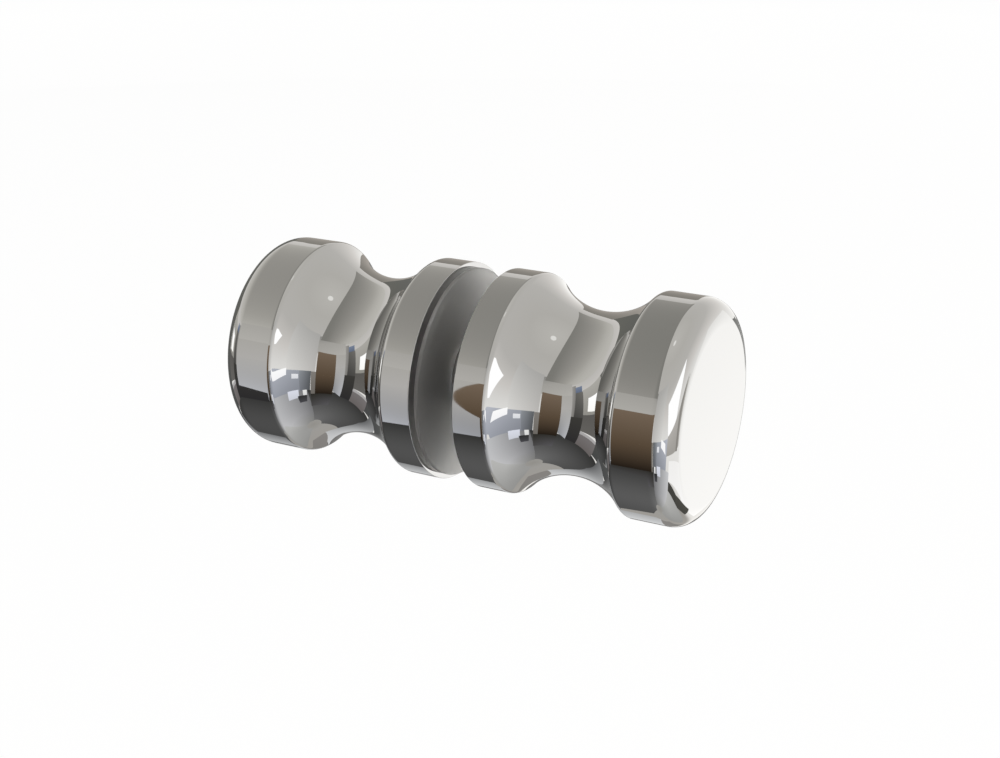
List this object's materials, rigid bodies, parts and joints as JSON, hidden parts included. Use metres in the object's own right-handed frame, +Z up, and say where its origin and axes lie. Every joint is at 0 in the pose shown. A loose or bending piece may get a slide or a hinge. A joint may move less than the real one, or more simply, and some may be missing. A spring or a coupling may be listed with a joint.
{
  "type": "shower door handle",
  "caption": "Back-to-back waisted knob pair that clamps a glass shower door, with a through stud, a flanged sleeve and a washer.",
  "frame": {"origin": "centre of the hole through the glass, in the middle of the glass's thickness", "axes": "+Y along the knobs' axis from the outer knob to the inner knob, +Z up, +X to the right seen from outside the door"},
  "size_m": [0.032, 0.0707, 0.032],
  "materials": {
    "polished_chrome": "mirror-polished chrome plating on brass",
    "washer_plastic": "soft satin translucent grey plastic",
    "sleeve_plastic": "grey nylon, satin",
    "stud_steel": "bright zinc-plated steel"
  },
  "bodies": {
    "root": {"outer_knob": "polished_chrome", "inner_knob": "polished_chrome", "glass_washer": "washer_plastic", "flanged_sleeve": "sleeve_plastic", "threaded_stud": "stud_steel"}
  },
  "joints": []
}
